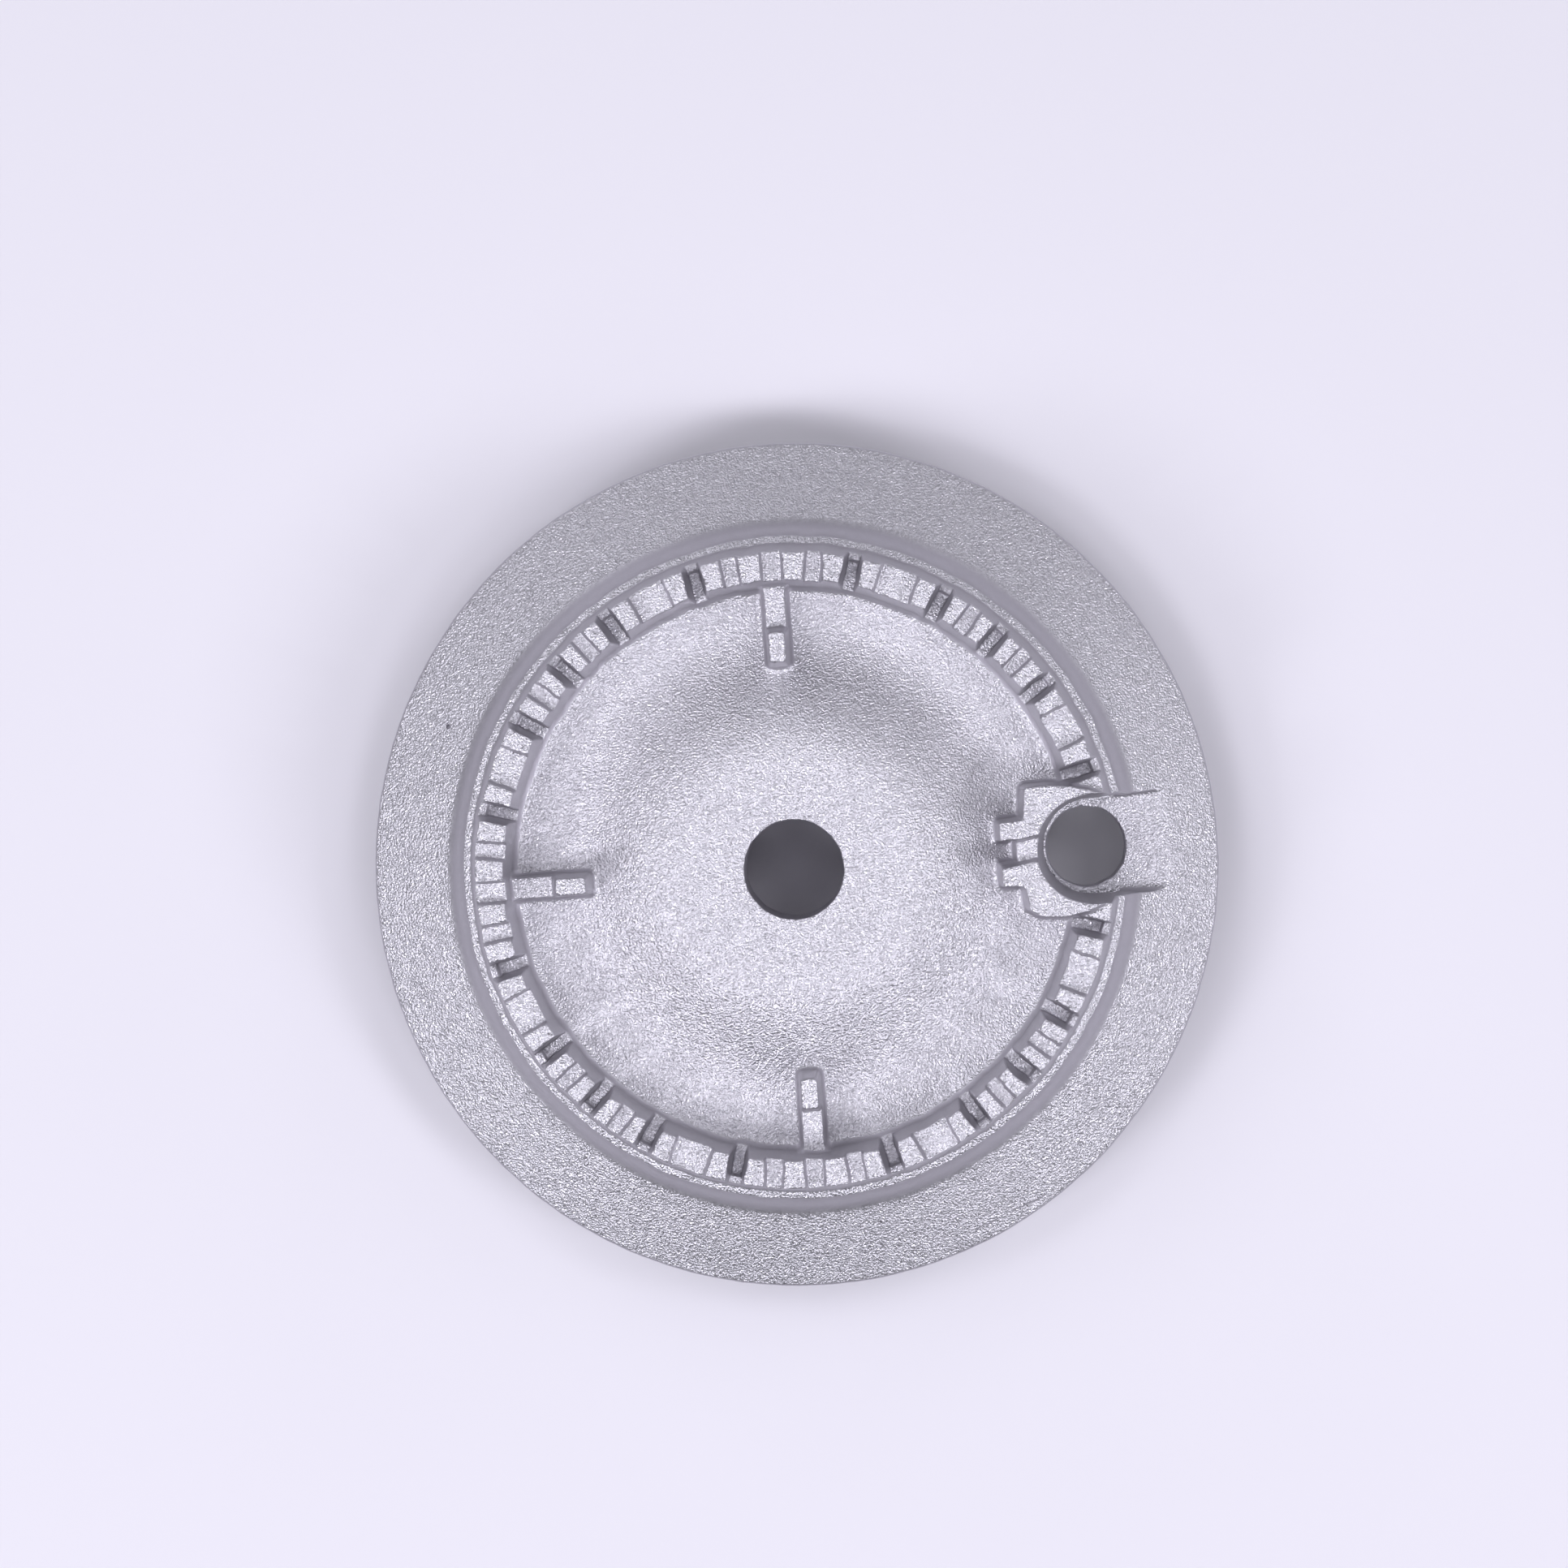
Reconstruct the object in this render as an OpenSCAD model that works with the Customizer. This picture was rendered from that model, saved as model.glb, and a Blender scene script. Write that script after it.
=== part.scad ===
// Gas hob burner head (flame spreader): one aluminium die casting.
// Frame: Z up, origin on the burner axis at the plane the casting stands on,
// +X points at the ignition electrode hole. All lengths are millimetres.

/* [Flange] */
// Outside diameter of the sloping flange
flange_d = 96.2; // [94:0.1:98]
// Height of the flange's outer edge, at the middle of its rim
rim_z = 7.9; // [7.6:0.1:8.2]
// Thickness of the rim
rim_t = 1.8; // [1.6:0.1:2.0]

/* [Port ring] */
// Height of the tooth tops that carry the cap
top_z = 24; // [23.8:0.1:25]
// Depth of the shallow grooves and of the wide pads below the tooth tops
groove_depth = 1.5; // [1.0:0.1:2.0]
// Height of the floor of the deep flame slots
slot_floor_z = 17.5; // [17.3:0.1:17.9]
// Height of the raised lip at the outer end of each deep slot
slot_lip_z = 18.5; // [18.2:0.1:19.0]
// Width of a deep slot at its floor
slot_floor_w = 1.35; // [1.1:0.05:1.5]
// Width of a deep slot at the tooth tops
slot_top_w = 2.1; // [1.9:0.05:2.2]

/* [Bowl] */
// Height of the raised middle of the bowl
plateau_z = 20.5; // [20:0.1:21]
// Height of the gutter at the foot of the port ring
gutter_z = 16.6; // [16.3:0.1:16.8]
// Diameter of the straight venturi bore
bore_d = 11; // [10.5:0.1:11.5]
// Length of the straight part of the venturi bore
bore_len = 9; // [7:0.5:10]

/* [Cap ribs] */
// Height of the inner pads of the ribs that centre the cap
rib_top_z = 23.8; // [23:0.1:24]
// Height of the outer pads of the ribs
rib_step_z = 19.5; // [19:0.1:20.5]
// Radius of the step between the two pads
rib_step_r = 26.3; // [26:0.1:27]

/* [Igniter boss] */
// Distance of the electrode hole from the burner axis
igniter_r = 32.9; // [32.6:0.1:33.2]
// Diameter of the electrode hole
igniter_d = 9.0; // [8.6:0.1:9.2]
// Height of the flat floor round the electrode hole
igniter_floor_z = 11.4; // [11.2:0.1:11.6]
// Thickness of that floor
igniter_floor_t = 3.7; // [3.4:0.1:3.9]

/* [Underside] */
// Outside diameter of the locating ring that the casting stands on
foot_d = 53.6; // [52:0.1:54]
// Thickness of the locating ring
foot_t = 2.2; // [2:0.1:3]
// Height of the lower end of the venturi tube
tube_end_z = 1.5; // [1:0.1:3]

/* [Hidden] */
$fn = 180;

cast = [0.73, 0.73, 0.75];
rim_r = flange_d / 2;
groove_z = top_z - groove_depth;
ledge_z = 16.05;
wall = 2.3;
// Radii of the crest of the port ring and of its foot, inside and outside
ring_in_top = 31.96;
ring_in_foot = 31.55;
ring_out_top = 35.07;
// Slot draft per millimetre of height, each side
slot_draft = (slot_top_w - slot_floor_w) / 2 / (top_z - slot_floor_z);
groove_draft = 0.13;

// Angles, from the middle of a quadrant, of the deep slots, the narrow
// shallow grooves and the wide pads; the pattern repeats in each quadrant
// and is the same on both sides of its middle.
slot_offsets = [-30.1, -12.4, 0, 12.4, 30.1];
groove_offsets = [[-37.25, 2.9], [-6.15, 2.5], [6.15, 2.5], [37.25, 2.9]];
pad_offsets = [[-21.2, 6.8], [21.2, 6.8]];
quadrants = [45, 135, 225, 315];

// Height of the bowl's surface at radius r: a raised middle, a slope that
// eases in and out, and a flat gutter.
slope_r0 = 12.5;
slope_r1 = 27.5;
function ease(t) = (1 - cos(180 * min(max(t, 0), 1))) / 2;
function bowl_z(r) = plateau_z - (plateau_z - gutter_z) * ease((r - slope_r0) / (slope_r1 - slope_r0));

// Points along an arc about (cr, cz), from angle a0 to a1
function arc(cr, cz, r, a0, a1, n) = [for (i = [0 : n]) let (a = a0 + (a1 - a0) * i / n) [cr + r * cos(a), cz + r * sin(a)]];

// Section of the revolved casting, counter-clockwise from the foot of the
// tube: underside from the axis outwards, round the rim, and back over the top.
underside = concat(
    [[5.2, tube_end_z], [10.3, tube_end_z], [9.4, 5], [8.5, 9.5], [8.1, 12.5], [8.0, 16.0]],
    arc(10.1, 16.0, 2.1, 180, 92, 4),
    [for (i = [0 : 9]) let (r = 13.5 + i * (foot_d / 2 - foot_t - 0.6 - 13.5) / 9) [r, bowl_z(r - 1.0) - wall]],
    [[foot_d / 2 - foot_t, 14.2], [foot_d / 2 - foot_t, 0.4], [foot_d / 2 - foot_t + 0.4, 0]],
    [[foot_d / 2 - 0.4, 0], [foot_d / 2, 0.4], [foot_d / 2, 12.5]],
    arc(foot_d / 2 + 0.8, 12.5, 0.8, 180, 90, 3),
    [[33.2, 13.3], [35.2, 12.6], [38.6, 10.9]]
);
rim_nose = concat(
    arc(rim_r - 0.7, rim_z - rim_t / 2 + 0.7, 0.7, -115, 0, 5),
    arc(rim_r - 0.5, rim_z + rim_t / 2 - 0.5, 0.5, 0, 63, 4)
);
topside = concat(
    arc(42.10, 17.27, 5.16, 243, 199, 8),
    [[36.32, ledge_z], [36.18, ledge_z + 0.3], [36.0, 17.1]],
    [[ring_out_top + 0.25, groove_z - 0.3], [ring_out_top, top_z - 0.1], [ring_out_top - 0.1, top_z]],
    [[ring_in_top + 0.1, top_z], [ring_in_top, top_z - 0.1], [ring_in_foot + 0.1, gutter_z + 1.0]],
    arc(ring_in_foot - 0.65, gutter_z + 0.7, 0.7, -20, -90, 4),
    [for (i = [0 : 20]) let (r = 28.5 - i) [r, bowl_z(r)]],
    [[5.2, plateau_z]]
);

// Flange, port ring, bowl, venturi tube and locating ring, before cutting
module turned_body() {
    rotate_extrude() polygon(concat(underside, rim_nose, topside));
}

// A straight-sided channel with drafted walls, from radius r0 to r1,
// with its floor at z and w wide there
module channel(a, r0, r1, z, w, draft) {
    h = 3 + top_z - z;
    rotate([0, 0, a]) translate([r0, 0, z]) rotate([90, 0, 90])
        linear_extrude(height = r1 - r0)
            polygon([[-w / 2, 0], [w / 2, 0], [w / 2 + draft * h, h], [-w / 2 - draft * h, h]]);
}

// One deep flame slot: lower floor inside, raised lip outside
module slot(a) {
    channel(a, 30.6, 34.85, slot_floor_z, slot_floor_w, slot_draft);
    lip_w = slot_floor_w + 2 * slot_draft * (slot_lip_z - slot_floor_z);
    channel(a, 34.8, 38, slot_lip_z, lip_w, slot_draft);
}

// One shallow groove or pad of the given angular width, a little below the teeth
module groove(a, width) {
    channel(a, 30.6, 38, groove_z, 33.45 * width * PI / 180, groove_draft);
}

// All cuts in the crest of the port ring
module ports() {
    for (q = quadrants) {
        for (o = slot_offsets) slot(q + o);
        for (g = groove_offsets) groove(q + g[0], g[1]);
        for (g = pad_offsets) groove(q + g[0], g[1]);
    }
    for (a = [90, 180, 270]) groove(a, 3.4);
}

// Pads beside the igniter boss. Each opens into the deep slot next to it, so
// they are cut after the slots and not together with them.
module boss_pads() {
    for (a = [-11.6, 11.6]) groove(a, 3.6);
}

// A radial rib with drafted sides and a step in its top
module rib(a) {
    rotate([0, 0, a]) intersection() {
        translate([20, 0, 12.6]) rotate([90, 0, 90])
            linear_extrude(height = 14)
                polygon([[-1.57, 0], [1.57, 0], [0.95, rib_top_z - 12.6], [-0.95, rib_top_z - 12.6]]);
        translate([0, 5, 0]) rotate([90, 0, 0])
            linear_extrude(height = 10)
                polygon([[22.15, 16.3], [22.9, rib_top_z - 0.3], [23.2, rib_top_z], [rib_step_r - 0.2, rib_top_z],
                         [rib_step_r, rib_top_z - 0.2], [rib_step_r + 0.5, rib_step_z], [31.9, rib_step_z],
                         [31.9, gutter_z - 1.1], [27.5, gutter_z - 1.1], [25, gutter_z - 0.2]]);
    }
}

// A block with drafted walls: x0 to x1 and y0 to y1 at height z1, growing
// by d on its low-x side and on both y sides at height z0
module drafted_block(x0, x1, y0, y1, z0, z1, d) {
    intersection() {
        translate([x0 - d, 0, 0]) rotate([90, 0, 90])
            linear_extrude(height = x1 - x0 + d)
                polygon([[y0 - d, z0], [y1 + d, z0], [y1, z1], [y0, z1]]);
        translate([0, y1 + d, 0]) rotate([90, 0, 0])
            linear_extrude(height = y1 - y0 + 2 * d)
                polygon([[x0 - d, z0], [x1, z0], [x1, z1], [x0, z1]]);
    }
}

// The block that carries the electrode hole, with its two inward lugs
module igniter_boss() {
    z0 = igniter_floor_z - igniter_floor_t;
    intersection() {
        drafted_block(25.4, 35, -7.1, 7.45, igniter_floor_z - wall, top_z, 0.8);
        // Rounded shoulders towards the ring
        translate([0, 0, z0]) linear_extrude(height = 20)
            polygon([[20, -12], [30.0, -12], [30.0, -7.6], [31.6, -7.25], [33.0, -6.6], [34.3, -5.6],
                     [34.3, 5.6], [33.4, 6.5], [32.0, 7.3], [30.4, 7.75], [30.0, 12], [20, 12]]);
    }
    drafted_block(22.85, 26, 1.75, 3.65, 16.0, top_z, 0.4);
    drafted_block(22.9, 26, -3.4, -1.3, 16.0, top_z, 0.4);
    drafted_block(24.7, 26, -1.1, 1.6, 15.9, top_z, 0.55);
    // Floor under the notch, and the round boss about the hole
    intersection() {
        translate([26, -7.2, igniter_floor_z - wall]) cube([14, 14.4, wall]);
        cylinder(r = 39.4, h = 20);
    }
    translate([igniter_r, 0, z0]) cylinder(r = 6.7, h = igniter_floor_t);
}

// The open-ended notch in front of the electrode hole
module igniter_notch() {
    r0 = 5.05;
    r1 = 6.2;
    h = top_z - igniter_floor_z;
    e = 2;
    k = (r1 - r0) / h;
    translate([33.2, 0, igniter_floor_z]) cylinder(r1 = r0, r2 = r1 + k * e, h = h + e);
    translate([33.2, 0, igniter_floor_z]) rotate([90, 0, 90])
        linear_extrude(height = 20)
            polygon([[-r0, 0], [r0, 0], [r1 + k * e, h + e], [-r1 - k * e, h + e]]);
}

// Shallow gas channel from the gap between the lugs to the electrode
module pilot_channel() {
    translate([23.4, 0.35, groove_z]) rotate([90, 0, 90])
        linear_extrude(height = 6)
            polygon([[-1.15, 0], [1.1, 0], [1.5, 4], [-1.55, 4]]);
}

module burner_head() {
    color(cast) difference() {
        union() {
            difference() {
                difference() {
                    turned_body();
                    ports();
                }
                boss_pads();
            }
            for (a = [90, 180, 270]) rib(a);
            igniter_boss();
        }
        igniter_notch();
        pilot_channel();
        translate([igniter_r, 0, 0]) cylinder(d = igniter_d, h = 20);
        // Venturi: straight throat, then a bell mouth towards the gas jet
        translate([0, 0, plateau_z - bore_len]) cylinder(d = bore_d, h = bore_len + 1);
        translate([0, 0, tube_end_z - 1]) cylinder(d1 = 16.6, d2 = bore_d, h = plateau_z - bore_len - tube_end_z + 1);
    }
}

burner_head();
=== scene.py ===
import math

import bpy
import numpy as np
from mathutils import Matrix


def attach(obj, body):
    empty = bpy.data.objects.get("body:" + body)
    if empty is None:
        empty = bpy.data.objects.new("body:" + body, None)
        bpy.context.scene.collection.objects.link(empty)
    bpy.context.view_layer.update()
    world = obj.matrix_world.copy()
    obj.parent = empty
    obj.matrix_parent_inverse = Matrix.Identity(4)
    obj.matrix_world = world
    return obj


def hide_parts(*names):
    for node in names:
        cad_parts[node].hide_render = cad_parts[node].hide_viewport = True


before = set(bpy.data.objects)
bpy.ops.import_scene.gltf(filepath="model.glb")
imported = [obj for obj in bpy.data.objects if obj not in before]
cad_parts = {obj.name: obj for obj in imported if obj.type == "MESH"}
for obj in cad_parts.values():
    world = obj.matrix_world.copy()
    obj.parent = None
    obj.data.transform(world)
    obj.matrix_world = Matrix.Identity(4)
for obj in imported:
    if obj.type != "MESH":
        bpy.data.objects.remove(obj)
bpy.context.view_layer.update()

import openvdb
from mathutils import Matrix, Vector

# ---------------------------------------------------------------------------
# Camera: straight down on the burner, a little off its axis, as photographed.
# Its axes and place are in the part's own frame, in metres.
# ---------------------------------------------------------------------------
scene = bpy.context.scene
cam_data = bpy.data.cameras.new("camera")
cam_data.sensor_fit = "HORIZONTAL"
cam_data.sensor_width = 36.0
cam_data.lens = 4800.0 / 1932.0 * 36.0
cam_data.clip_start = 0.05
cam_data.clip_end = 5.0
cam = bpy.data.objects.new("camera", cam_data)
scene.collection.objects.link(cam)
cam.matrix_world = Matrix((
    (0.9971263, 0.0721713, 0.0230317, 0.0095302),
    (-0.0725495, 0.997236, 0.0160307, 0.0164388),
    (-0.0218111, -0.0176556, 0.9996062, 0.4518346),
    (0.0, 0.0, 0.0, 1.0),
))
scene.camera = cam

# ---------------------------------------------------------------------------
# The casting, as a signed distance on a grid (millimetres, negative inside).
# Every edge and corner gets the small radius that a casting has.
# ---------------------------------------------------------------------------
STEP = 0.17
MAX_TRIS = 197_000
rng = np.random.RandomState(41)


def rmax(a, b, r):
    """Intersection whose convex edge has radius r."""
    return np.minimum(np.maximum(a, b), -r) + np.hypot(np.maximum(a + r, 0), np.maximum(b + r, 0))


def rmin(a, b, r):
    """Union whose concave corner is filled with radius r."""
    return np.maximum(np.minimum(a, b), r) - np.hypot(np.maximum(r - a, 0), np.maximum(r - b, 0))


def smooth(t):
    t = np.clip(t, 0, 1)
    return t * t * (3 - 2 * t)


def rounded(points, n=5):
    """A closed outline with an arc of the given radius at each (x, y, radius)."""
    out = []
    for i, (x, y, r) in enumerate(points):
        p = np.array((x, y), float)
        u = np.array(points[i - 1][:2], float) - p
        v = np.array(points[(i + 1) % len(points)][:2], float) - p
        lu, lv = np.linalg.norm(u), np.linalg.norm(v)
        u, v = u / lu, v / lv
        angle = math.acos(float(np.clip(u @ v, -1, 1)))
        if r <= 0 or angle > math.pi - 0.02:
            out.append(p)
            continue
        t = min(r / math.tan(angle / 2), 0.48 * lu, 0.48 * lv)
        rr = t * math.tan(angle / 2)
        w = u + v
        c = p + w / np.linalg.norm(w) * (rr / math.sin(angle / 2))
        s, e = p + u * t - c, p + v * t - c
        a0, a1 = math.atan2(s[1], s[0]), math.atan2(e[1], e[0])
        d = (a1 - a0 + math.pi) % (2 * math.pi) - math.pi
        out += [c + rr * np.array((math.cos(a0 + d * k / n), math.sin(a0 + d * k / n))) for k in range(n + 1)]
    return np.array(out)


def arc(cx, cy, r, a0, a1, n):
    a = np.radians(np.linspace(a0, a1, n + 1))
    return [(cx + r * math.cos(t), cy + r * math.sin(t), 0) for t in a]


def outline_distance(px, py, poly):
    """Signed distance from each point to a closed outline."""
    best = np.full(px.shape, 1e9)
    inside = np.zeros(px.shape, bool)
    for (ax, ay), (bx, by) in zip(poly, np.roll(poly, -1, 0)):
        ex, ey = bx - ax, by - ay
        wx, wy = px - ax, py - ay
        t = np.clip((wx * ex + wy * ey) / (ex * ex + ey * ey + 1e-12), 0, 1)
        best = np.minimum(best, (wx - ex * t) ** 2 + (wy - ey * t) ** 2)
        if ay != by:
            inside ^= ((ay > py) != (by > py)) & (px < ex * (py - ay) / ey + ax)
    return np.where(inside, -1, 1) * np.sqrt(best)


# Main heights and radii
TOP, PAD, PLATEAU, GUTTER, LEDGE = 24.0, 22.5, 20.5, 16.6, 16.05
SLOT_FLOOR, SLOT_LIP, NOTCH_FLOOR = 17.5, 18.5, 11.4
RIM_R = 48.04


def bowl_z(r):
    t = np.clip((np.asarray(r, float) - 12.5) / 15.0, 0, 1)
    return PLATEAU - (PLATEAU - GUTTER) * (1 - np.cos(np.pi * t)) / 2


# Section of the turned part: underside from the tube outwards, rim, and back over the top
section = rounded(
    [(-1.0, 1.5, 0), (10.3, 1.5, 0.5), (9.4, 5.0, 3), (8.5, 9.5, 3), (8.1, 12.5, 3), (8.0, 18.12, 2.1)]
    + [(r, float(bowl_z(r - 1.0)) - 2.3, 0) for r in np.linspace(12.5, 23.3, 12)]
    + [(24.6, 14.9, 1.0), (24.6, 0.0, 0.4), (26.8, 0.0, 0.4), (26.8, 13.35, 0.9),
       (33.2, 13.35, 3.0), (35.2, 12.65, 3.0), (38.6, 10.95, 4.0)]
    + [(RIM_R, 6.70, 0.7), (RIM_R, 8.62, 0.48)]
    + arc(42.10, 17.27, 5.16, 243, 200.5, 16)
    + [(37.2, 15.72, 0.15), (36.28, LEDGE - 0.05, 0.3), (36.0, 17.1, 0.9), (35.3, 22.3, 2.0), (35.08, 24.0, 0.24),
       (31.97, 24.0, 0.2), (31.4, GUTTER, 1.25)]
    + [(r, float(bowl_z(r)), 0) for r in np.linspace(28.6, 8.0, 36)]
    + [(-1.0, PLATEAU, 0)],
    10,
)

lo = np.array((-48.6, -48.6, -0.6))
shape = np.ceil((np.array((48.6, 48.6, 24.6)) - lo) / STEP).astype(int) + 1
xs = lo[0] + STEP * np.arange(shape[0])
ys = lo[1] + STEP * np.arange(shape[1])
zs = lo[2] + STEP * np.arange(shape[2])
X0, Y0 = np.meshgrid(xs, ys, indexing="ij")


def waves(cell, octaves=2):
    """Smooth noise over the plan, about -1 to 1, with blobs of the given size in mm."""
    total, size = np.zeros(X0.shape), 0.0
    for o in range(octaves):
        c = cell / 2 ** o
        n = int(math.ceil(98 / c)) + 3
        g = rng.uniform(-1, 1, (n, n))
        u, v = (X0 - lo[0]) / c, (Y0 - lo[1]) / c
        i, j = u.astype(int), v.astype(int)
        fu, fv = smooth(u - i), smooth(v - j)
        total += (g[i, j] * (1 - fu) * (1 - fv) + g[i + 1, j] * fu * (1 - fv)
                  + g[i, j + 1] * (1 - fu) * fv + g[i + 1, j + 1] * fu * fv) / 2 ** o
        size += 1 / 2 ** o
    return total / size * 1.6


# The plan is a little uneven, as a worn die leaves it
R0 = np.hypot(X0, Y0)
worn = 0.012 + 0.07 * smooth((R0 - 30.4) / 0.8) * smooth((37.9 - R0) / 0.8) + 0.02 * smooth((R0 - 47.2) / 0.4)
X = X0 + worn * waves(1.7)
Y = Y0 + worn * waves(1.7)
R = np.hypot(X, Y)
TH = np.degrees(np.arctan2(Y, X))
swell = 0.005 * waves(8.0) + 0.003 * waves(2.2)
rough = waves(0.75)


def scored(x0, y0, x1, y1, wide):
    """Plan weight of a ragged scratch between two points, its lip on one side."""
    dx, dy = x1 - x0, y1 - y0
    length = math.hypot(dx, dy)
    t = ((X0 - x0) * dx + (Y0 - y0) * dy) / length
    side = ((Y0 - y0) * dx - (X0 - x0) * dy) / length + 0.16 * rough
    ends = smooth(t / 0.5) * smooth((length - t) / 0.5)
    return ends * (np.exp(-((side + 0.5 * wide) / (0.5 * wide)) ** 2) - 1.2 * np.exp(-((side - 0.5 * wide) / (0.5 * wide)) ** 2))


score = 0.07 * (scored(17.0, -42.9, 20.2, -41.7, 0.26) + scored(21.2, -41.2, 26.0, -39.2, 0.24))

# The turned section's distance at each level, read by radius
radii = np.arange(0, 69.6, 0.05)
table = outline_distance(*np.meshgrid(radii, zs), section).astype(np.float32)
ri = np.minimum((R / 0.05).astype(int), len(radii) - 2)
rf = (R / 0.05 - ri).astype(np.float32)


def wrap(a):
    return (a + 180) % 360 - 180


def window(mask, angle=0.0):
    """The grid columns under mask, with their place along and across a radial line."""
    idx = np.nonzero(mask.ravel())[0]
    x, y = X.ravel()[idx], Y.ravel()[idx]
    c, s = math.cos(math.radians(angle)), math.sin(math.radians(angle))
    return idx, x * c + y * s, -x * s + y * c


crest = (R > 30.0) & (R < 39.0)
quadrants = (45, 135, 225, 315)
slot_angles = [q + o for q in quadrants for o in (-30.1, -12.4, 0.0, 12.4, 30.1)]
groove_list = [(q + o, w) for q in quadrants for o, w in
               ((-37.25, 2.9), (-6.15, 2.5), (6.15, 2.5), (37.25, 2.9), (-21.2, 6.8), (21.2, 6.8))]
groove_list += [(90, 3.4), (180, 3.4), (270, 3.4), (-11.6, 3.6), (11.6, 3.6)]

slots, grooves = [], []
for a in slot_angles:
    a += rng.uniform(-0.12, 0.12)
    idx, u, v = window(crest & (np.abs(wrap(TH - a)) < 4.5), a)
    slots.append((idx, u, v + rng.uniform(-0.012, 0.012) * (u - 33), rng.uniform(-0.05, 0.05), rng.uniform(-0.15, 0.15)))
for a, w in groove_list:
    a += rng.uniform(-0.1, 0.1)
    idx, u, v = window(crest & (np.abs(wrap(TH - a)) < w / 2 + 3), a)
    grooves.append((idx, u, v, 33.45 * math.radians(w) / 2 + rng.uniform(-0.04, 0.04), rng.uniform(-0.06, 0.06)))

ribs = [window((R > 19) & (R < 34) & (np.abs(wrap(TH - a)) < 14), a) for a in (90, 180, 270)]

# Igniter boss: its plan at the top, grown downwards by the draft
boss_plan = rounded([
    (25.88, 7.3, 0.45), (25.55, 3.68, 0.5), (22.87, 3.6, 0.22), (22.87, -3.45, 0.3), (25.35, -3.6, 0.8),
    (25.65, -6.2, 0.3), (26.9, -7.05, 1.2), (29.5, -7.25, 2.0), (32.2, -6.75, 2.0), (34.3, -5.7, 0.5),
    (34.3, 5.9, 0.5), (33.0, 6.55, 2.0), (31.0, 7.1, 3.0), (28.5, 7.35, 2.0),
])
gap_plan = rounded([(20.0, 1.68, 0), (24.66, 1.58, 0.1), (24.70, -1.05, 0.1), (20.0, -1.28, 0)])
boss_mask = (X0 > 19) & (X0 < 40.5) & (np.abs(Y0) < 11)
bi, bx, by = window(boss_mask)
boss_d = outline_distance(bx, by, boss_plan)
gap_d = outline_distance(bx, by, gap_plan)
pad_y = 0.35 + 0.17 * (bx - 25.7)

notch_mask = (X0 > 24) & (X0 < 45) & (np.abs(Y0) < 9)
ni, nx_, ny_ = window(notch_mask)
notch_u = np.maximum(33.2 - nx_, 0)
notch_len = np.hypot(notch_u, ny_)
notch_left = np.where(notch_len > 1e-6, notch_u / np.maximum(notch_len, 1e-6), 0) ** 2
hole_d = np.hypot(nx_ - 32.92, ny_ + 0.06) - 4.485
notch_fillet = 0.45 + 0.6 * smooth((-ny_ - 2.0) / 1.5) * smooth((nx_ - 30.5) / 2.0)
notch_edge = 0.16 + 0.2 * smooth((nx_ - 40.2) / 1.2) * smooth((5.2 - np.abs(ny_)) / 1.2)

bore_i, bore_x, bore_y = window(np.hypot(X0, Y0) < 11)
bore_r = np.hypot(bore_x, bore_y)

# Small pits, blowholes and nicks: x, y, z, radius
pits = [(16.56, -0.19, 19.92, 0.24), (8.58, -7.02, 20.56, 0.26), (-38.1, 18.6, 11.4, 0.22),
        (-38.1, 18.6, 11.05, 0.26), (-38.1, 18.6, 10.7, 0.24), (30.0, -34.0, 10.25, 0.4)]
for a, r, s in ((78.3, 34.0, 0.24), (125.5, 34.2, 0.36), (126.4, 34.0, 0.22), (128.7, 33.4, 0.3), (138.0, 34.0, 0.2),
                (42.0, 34.8, 0.22), (18.8, 35.0, 0.3), (227.0, 34.0, 0.22), (240.3, 34.0, 0.26), (342.5, 35.0, 0.22)):
    pits.append((r * math.cos(math.radians(a)), r * math.sin(math.radians(a)), 24.08, s))

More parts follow.
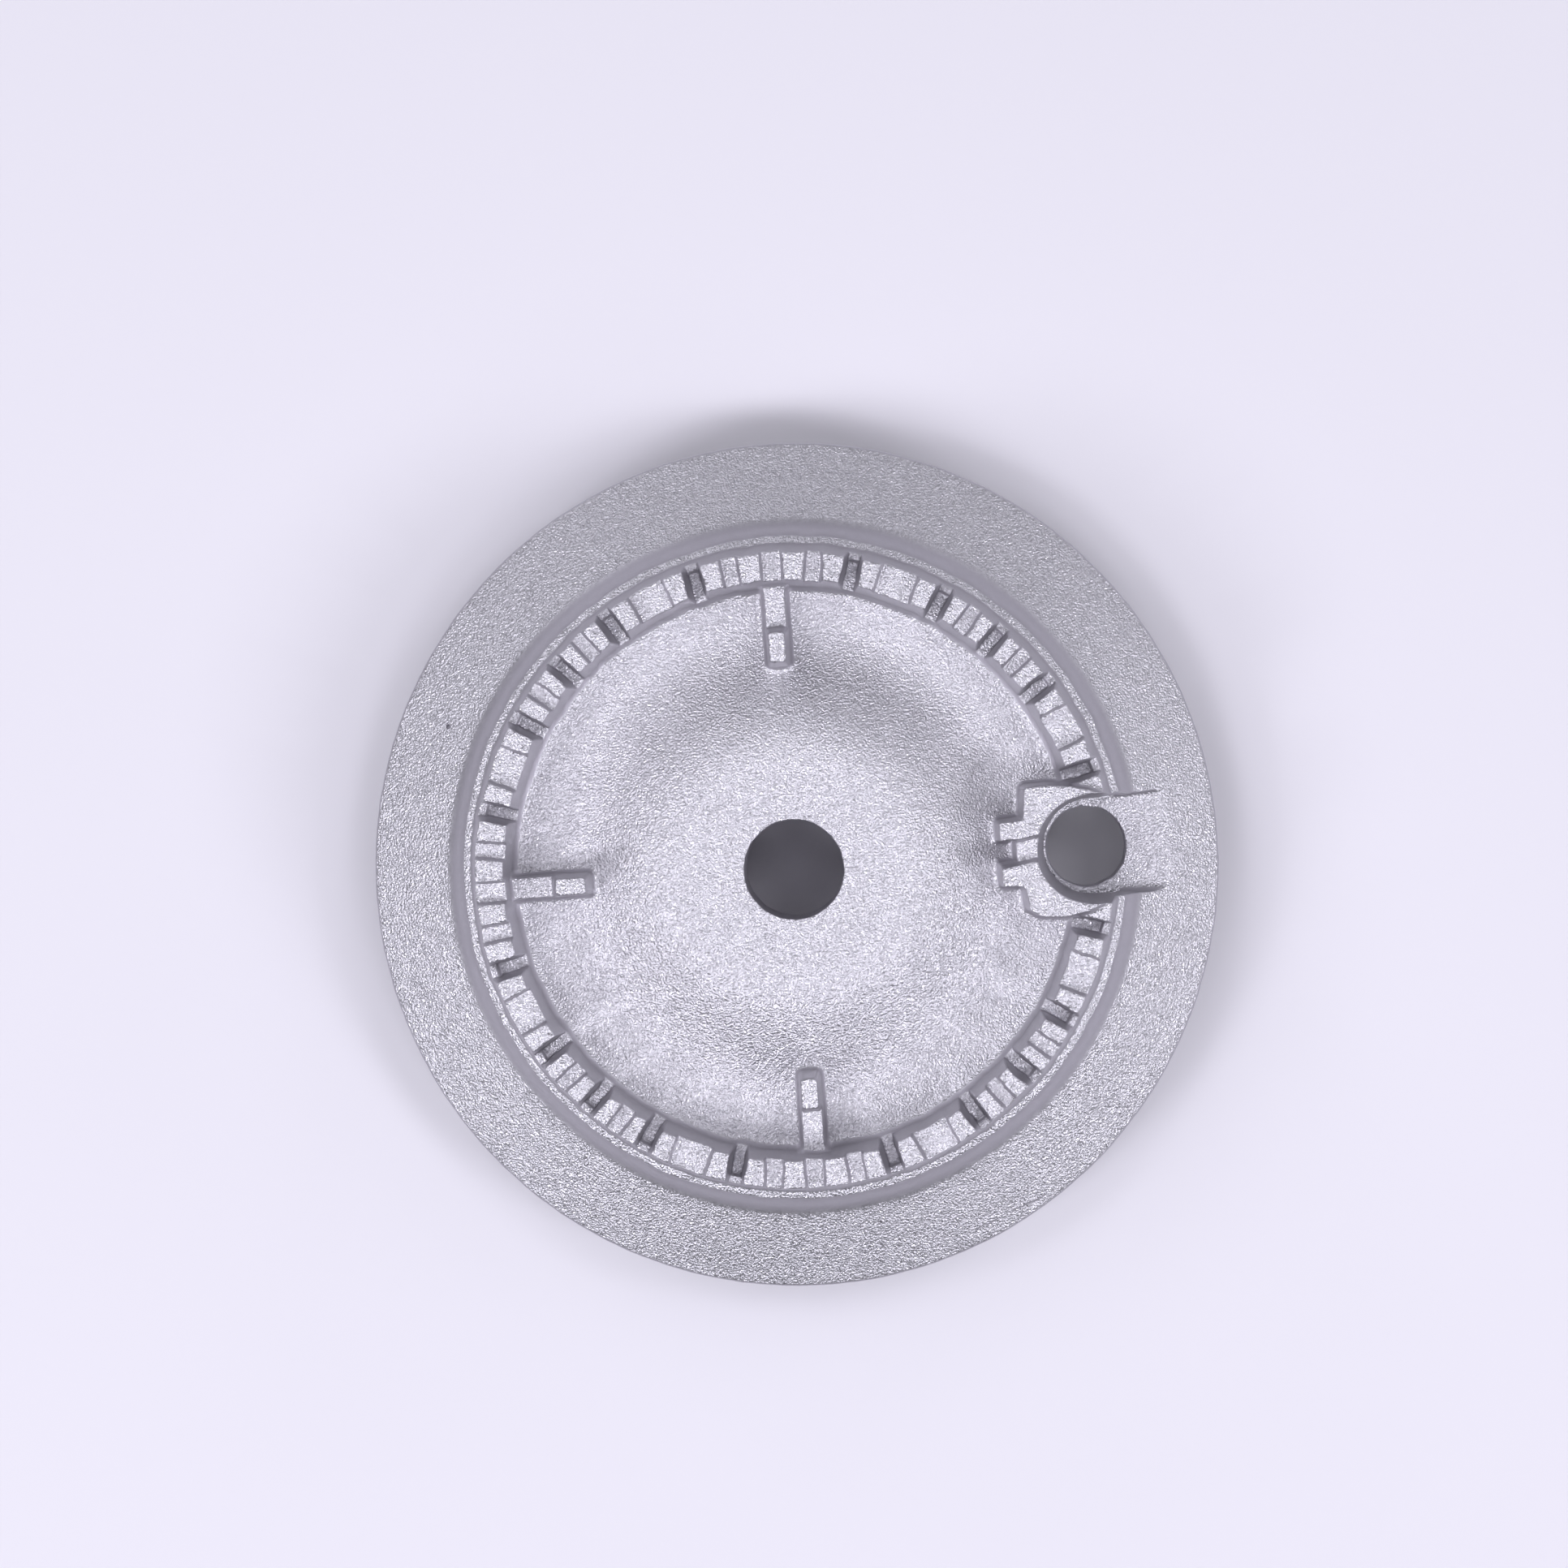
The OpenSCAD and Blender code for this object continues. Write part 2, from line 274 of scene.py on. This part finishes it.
field = np.empty(tuple(shape), np.float32)
flat = lambda: None
for k, z in enumerate(zs):
    row = table[k]
    D = row[ri] * (1 - rf) + row[ri + 1] * rf
    F = D.ravel()
    if z > SLOT_FLOOR - 1.5:
        for idx, u, v, dz, dw in slots:
            side = np.abs(v) - (0.675 + 0.05 * dw + 0.0577 * (z - SLOT_FLOOR))
            low = rmax(rmax(side, SLOT_FLOOR + dz - z, 0.22), u - (34.78 + 0.15 * (z - SLOT_FLOOR)), 0.1)
            high = rmax(side, SLOT_LIP + dz - z, 0.12)
            F[idx] = rmax(F[idx], -np.minimum(low, high), 0.17)
    if z > PAD - 1.0:
        for idx, u, v, hw, dz in grooves:
            cut = rmax(np.abs(v) - (hw + 0.13 * (z - PAD)), PAD + dz - z, 0.12)
            F[idx] = rmax(F[idx], -cut, 0.17)
    if z > 11.5:
        # Three ribs with a step in their top
        for idx, u, v in ribs:
            half = 0.95 + 0.055 * (23.8 - z)
            side = np.abs(v) - half
            end = np.maximum(22.92 - 0.075 * (23.8 - z) - u, u - (26.35 + 0.13 * (23.8 - z)))
            inner = rmax(rmax(side, end, 0.5), z - 23.8, 0.2)
            outer = rmax(rmax(side, z - 19.5, 0.2), np.maximum(26.5 - u, u - 32.4), 0.1)
            solid = rmin(inner, outer, 0.25)
            solid = np.maximum(solid, (bowl_z(np.minimum(u, 27.5)) - 1.0) - z)
            F[idx] = rmin(F[idx], solid, 0.8)
        # Igniter boss with its two lugs
        grow = 0.04 * (TOP - z)
        body = rmax(boss_d - grow, z - TOP, 0.16)
        body = rmax(body, -rmax(gap_d + 0.9 * grow, -(z + 5), 0.1), 0.15)
        body = rmax(body, -rmax(np.abs(by - pad_y) - (1.08 + 0.2 * (z - PAD)), PAD - z, 0.1), 0.15)
        body = np.maximum(body, (NOTCH_FLOOR - 2.2) - z)
        body = np.maximum(body, (bowl_z(np.minimum(np.hypot(bx, by), 27.5)) - 1.2) - z)
        F[bi] = rmin(F[bi], body, 0.8)
    # Nothing stands above the teeth
    if z > TOP - 0.6:
        F[:] = rmax(F, z - TOP, 0.05)
    # Floor round the electrode hole, below
    if 7.0 < z < 12.5:
        tab = rmax(np.hypot(bx - 32.9, by) - 6.7, np.maximum(z - 11.5, 7.9 - z), 0.25)
        F[bi] = rmin(F[bi], tab, 0.5)
        slab = rmax(np.maximum(np.abs(by) - 7.2, np.hypot(bx, by) - 39.0), np.maximum(z - 11.5, 9.3 - z), 0.3)
        F[bi] = rmin(F[bi], slab, 0.5)
    # Notch
    if z > NOTCH_FLOOR - 1.5:
        up = z - NOTCH_FLOOR
        side_w = 5.12 + 0.072 * up + np.maximum(nx_ - 33.2, 0) * 0.068
        left_w = 4.95 + 0.115 * up
        width = side_w + (left_w - side_w) * notch_left
        cut = rmax(notch_len - width, NOTCH_FLOOR - z, notch_fillet)
        F[ni] = rmax(F[ni], -cut, notch_edge)
    F[ni] = rmax(F[ni], -(hole_d + 0.045 * rough.ravel()[ni]), 0.14)
    # Venturi bore: straight, then a bell mouth
    wide = 5.5 + np.maximum(11.5 - z, 0) ** 1.35 * 0.112
    F[bore_i] = rmax(F[bore_i], -(bore_r - wide + 0.03 * rough.ravel()[bore_i]), 0.15)
    D = F.reshape(D.shape) + swell * (0.35 if z < 8 else 1.0)
    if 6 < z < 13:
        D = D + score
    for px, py, pz, s in pits:
        if abs(pz - z) < s + 0.4:
            i0, i1 = np.searchsorted(xs, (px - s - 0.4, px + s + 0.4))
            j0, j1 = np.searchsorted(ys, (py - s - 0.4, py + s + 0.4))
            ball = np.sqrt((X0[i0:i1, j0:j1] - px) ** 2 + (Y0[i0:i1, j0:j1] - py) ** 2 * 0.8 + (z - pz) ** 2) - s
            D[i0:i1, j0:j1] = rmax(D[i0:i1, j0:j1], -ball, 0.05)
    D = np.maximum(D, np.maximum(-z, z - TOP))
    D = np.maximum(D, np.hypot(X0, Y0) - (RIM_R + 0.03))
    field[:, :, k] = D

# ---------------------------------------------------------------------------
# Mesh
# ---------------------------------------------------------------------------
grid = openvdb.FloatGrid(3.0)
grid.copyFromArray(np.clip(field / STEP, -3, 3))
verts, tris, quads = grid.convertToPolygons(isovalue=0.0, adaptivity=0.0)
print("grid", tuple(shape), "verts", len(verts), "quads", len(quads), "tris", len(tris))


def field_at(p):
    """The field and its slope at points given in grid steps."""
    p = np.clip(p, 1.001, np.array(shape) - 2.002)
    i = p.astype(int)
    f = p - i
    value = np.zeros(len(p))
    for dx in (0, 1):
        for dy in (0, 1):
            for dz in (0, 1):
                w = (f[:, 0] if dx else 1 - f[:, 0]) * (f[:, 1] if dy else 1 - f[:, 1]) * (f[:, 2] if dz else 1 - f[:, 2])
                value += w * field[i[:, 0] + dx, i[:, 1] + dy, i[:, 2] + dz]
    return value


def slope_at(p, e=0.6):
    g = np.stack([field_at(p + d) - field_at(p - d) for d in np.eye(3) * e], -1)
    return g / np.maximum(np.linalg.norm(g, axis=1), 1e-9)[:, None]


raw = bpy.data.meshes.new("raw")
faces = np.concatenate([quads[:, [0, 1, 2]], quads[:, [0, 2, 3]], tris.reshape(-1, 3)]) if len(tris) else np.concatenate([quads[:, [0, 1, 2]], quads[:, [0, 2, 3]]])
raw.vertices.add(len(verts))
raw.vertices.foreach_set("co", (verts * STEP + lo).astype(np.float32).ravel())
raw.loops.add(len(faces) * 3)
raw.loops.foreach_set("vertex_index", faces.astype(np.int32).ravel())
raw.polygons.add(len(faces))
raw.polygons.foreach_set("loop_start", np.arange(0, len(faces) * 3, 3, dtype=np.int32))
raw.update(calc_edges=True)
raw.validate()
holder = bpy.data.objects.new("raw", raw)
scene.collection.objects.link(holder)
thin = holder.modifiers.new("thin", "DECIMATE")
thin.ratio = min(1.0, MAX_TRIS / len(faces))
mesh = bpy.data.meshes.new_from_object(holder.evaluated_get(bpy.context.evaluated_depsgraph_get()))
bpy.data.objects.remove(holder)
bpy.data.meshes.remove(raw)

co = np.empty(len(mesh.vertices) * 3, np.float32)
mesh.vertices.foreach_get("co", co)
co = co.reshape(-1, 3).astype(float)
# Back onto the surface after thinning
for _ in range(2):
    p = (co - lo) / STEP
    d = field_at(p)
    co -= slope_at(p) * np.clip(d, -0.1, 0.1)[:, None]
co[:, 2] = np.clip(co[:, 2], 0.0, TOP)
n_vert = slope_at((co - lo) / STEP)
mesh.vertices.foreach_set("co", (co * 0.001).astype(np.float32).ravel())
mesh.update()
mesh.name = "burner_casting"
casting = bpy.data.objects.new("burner_casting", mesh)
scene.collection.objects.link(casting)

# Shading normals from the field, held near each face so that flats stay flat
nf = len(mesh.polygons)
vi = np.empty(len(mesh.loops), np.int32)
mesh.loops.foreach_get("vertex_index", vi)
fn = np.empty(nf * 3, np.float32)
mesh.polygons.foreach_get("normal", fn)
fn = np.repeat(fn.reshape(-1, 3), 3, axis=0).astype(float)
ln = n_vert[vi]
dot = np.sum(ln * fn, 1)
flip = np.mean(dot) < 0
if flip:
    mesh.flip_normals()
    vi = np.empty(len(mesh.loops), np.int32)
    mesh.loops.foreach_get("vertex_index", vi)
    fn = np.empty(nf * 3, np.float32)
    mesh.polygons.foreach_get("normal", fn)
    fn = np.repeat(fn.reshape(-1, 3), 3, axis=0).astype(float)
    ln = n_vert[vi]
    dot = np.sum(ln * fn, 1)
limit = math.cos(math.radians(24))
side = ln - fn * dot[:, None]
side /= np.maximum(np.linalg.norm(side, axis=1), 1e-9)[:, None]
held = fn * limit + side * math.sin(math.radians(24))
ln = np.where((dot < limit)[:, None], held, ln)
mesh.polygons.foreach_set("use_smooth", np.ones(nf, bool))
mesh.normals_split_custom_set(ln.astype(np.float32))
print("casting", len(mesh.vertices), "verts", nf, "tris")

# ---------------------------------------------------------------------------
# Material: shot-blasted cast aluminium
# ---------------------------------------------------------------------------
mat = bpy.data.materials.new("blasted_aluminium")
mat.use_nodes = True
nt = mat.node_tree
for n in list(nt.nodes):
    nt.nodes.remove(n)


def node(kind, **values):
    n = nt.nodes.new(kind)
    for k, v in values.items():
        if k in n.inputs:
            n.inputs[k].default_value = v
        else:
            setattr(n, k, v)
    return n


def link(a, b):
    nt.links.new(a, b)


def math_node(op, a, b=None, c=None, clamp=False):
    n = nt.nodes.new("ShaderNodeMath")
    n.operation, n.use_clamp = op, clamp
    for i, v in enumerate((a, b, c)):
        if v is None:
            continue
        if isinstance(v, (int, float)):
            n.inputs[i].default_value = v
        else:
            link(v, n.inputs[i])
    return n.outputs[0]


def ramp(value, low, high, out_low=0.0, out_high=1.0):
    n = nt.nodes.new("ShaderNodeMapRange")
    n.interpolation_type = "SMOOTHSTEP"
    link(value, n.inputs["Value"])
    for k, v in (("From Min", low), ("From Max", high), ("To Min", out_low), ("To Max", out_high)):
        n.inputs[k].default_value = v
    return n.outputs["Result"]


def noise(scale, detail=0.0, roughness=0.5, distortion=0.0):
    n = node("ShaderNodeTexNoise", Scale=scale, Detail=detail, Roughness=roughness, Distortion=distortion)
    link(coord.outputs["Object"], n.inputs["Vector"])
    return n.outputs["Fac"]


def blend(factor, a, b):
    n = nt.nodes.new("ShaderNodeMix")
    n.data_type = "RGBA"
    link(factor, n.inputs[0])
    for sock, v in ((n.inputs[6], a), (n.inputs[7], b)):
        if isinstance(v, tuple):
            sock.default_value = v
        else:
            link(v, sock)
    return n.outputs[2]


out = node("ShaderNodeOutputMaterial")
bsdf = node("ShaderNodeBsdfPrincipled")
link(bsdf.outputs[0], out.inputs[0])
bsdf.inputs["Metallic"].default_value = 1.0
coord = node("ShaderNodeTexCoord")
place = node("ShaderNodeSeparateXYZ")
link(coord.outputs["Object"], place.inputs[0])
facing = node("ShaderNodeSeparateXYZ")
link(coord.outputs["Normal"], facing.inputs[0])
up = math_node("ABSOLUTE", facing.outputs[2])
radius = math_node("SQRT", math_node("ADD", math_node("MULTIPLY", place.outputs[0], place.outputs[0]),
                                     math_node("MULTIPLY", place.outputs[1], place.outputs[1])))

# The blast reaches the level faces; steep walls keep the smooth skin of the die
blasted = ramp(up, 0.77, 0.87, 0.06, 1.0)
fine = noise(4300.0, 1.0, 0.5, 0.2)
middle = noise(1500.0, 1.0, 0.5)
height = math_node("ADD", fine, math_node("MULTIPLY", middle, 0.22))
bump = node("ShaderNodeBump", Distance=0.0002)
link(math_node("MULTIPLY", blasted, 1.0), bump.inputs["Strength"])
link(height, bump.inputs["Height"])
link(bump.outputs[0], bsdf.inputs["Normal"])

# Colour: silver with a fine mottle, and specks of dark in the pores of the tooth tops
tone = ramp(noise(2300.0, 2.0, 0.6), 0.3, 0.7)
silver = blend(tone, (0.56, 0.56, 0.565, 1), (0.69, 0.69, 0.69, 1))
silver = blend(ramp(up, 0.70, 0.86), (0.555, 0.545, 0.57, 1), silver)
on_teeth = math_node("MULTIPLY", ramp(place.outputs[2], 0.0222, 0.0224), ramp(radius, 0.0305, 0.0315))
on_teeth = math_node("MULTIPLY", on_teeth, ramp(up, 0.8, 0.95))
pores = math_node("MULTIPLY", ramp(noise(3600.0, 1.0, 0.6), 0.66, 0.72), on_teeth)
colour = blend(pores, silver, (0.25, 0.245, 0.245, 1))
link(colour, bsdf.inputs["Base Color"])
gloss = ramp(noise(1700.0, 1.0, 0.5), 0.25, 0.75, 0.29, 0.37)
link(math_node("ADD", gloss, ramp(up, 0.77, 0.87, 0.16, 0.0)), bsdf.inputs["Roughness"])
mesh.materials.append(mat)

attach(casting, "root")
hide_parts("burner_head")

# ---------------------------------------------------------------------------
# Floor and light
# ---------------------------------------------------------------------------
me = bpy.data.meshes.new("floor")
s = 1.5
me.from_pydata([(-s, -s, 0), (s, -s, 0), (s, s, 0), (-s, s, 0)], [], [(0, 1, 2, 3)])
floor = bpy.data.objects.new("floor", me)
scene.collection.objects.link(floor)
fm = bpy.data.materials.new("floor")
fm.use_nodes = True
fb = fm.node_tree.nodes["Principled BSDF"]
fb.inputs["Base Color"].default_value = (0.77, 0.77, 0.77, 1)
fb.inputs["Roughness"].default_value = 0.7
me.materials.append(fm)

world = bpy.data.worlds.new("world")
scene.world = world
world.use_nodes = True
world.node_tree.nodes["Background"].inputs[0].default_value = (0.97, 0.94, 1.09, 1)
world.node_tree.nodes["Background"].inputs[1].default_value = 0.0


def softbox(name, azimuth, elevation, power, distance=0.9, size=0.24):
    a, e = math.radians(azimuth), math.radians(elevation)
    d = Vector((math.cos(e) * math.cos(a), math.cos(e) * math.sin(a), math.sin(e)))
    data = bpy.data.lights.new(name, "AREA")
    data.shape = "SQUARE"
    data.size = size
    data.energy = power
    data.color = (0.97, 0.94, 1.09)
    o = bpy.data.objects.new(name, data)
    scene.collection.objects.link(o)
    o.location = d * distance
    o.rotation_euler = (-d).to_track_quat("-Z", "Y").to_euler()
    return o


# A tent of soft panels round the part: azimuth, elevation, strength
for az, el, w in ((0, 20, 0.015), (0, 40, 0.008), (30, 20, 0.022), (30, 40, 0.018), (30, 60, 0.045), (60, 20, 0.024),
                  (60, 60, 0.006), (60, 78, 0.014), (90, 20, 0.012), (120, 20, 0.028), (120, 40, 0.021), (120, 60, 0.022),
                  (150, 40, 0.031), (150, 60, 0.035), (180, 40, 0.031), (210, 40, 0.120), (210, 60, 0.050),
                  (240, 60, 0.058), (270, 60, 0.014), (300, 40, 0.025), (300, 60, 0.058), (330, 40, 0.138)):
    softbox(f"panel_{az}_{el}", az, el, 10 * w / 0.60)

scene.view_settings.view_transform = "Standard"
scene.view_settings.look = "None"
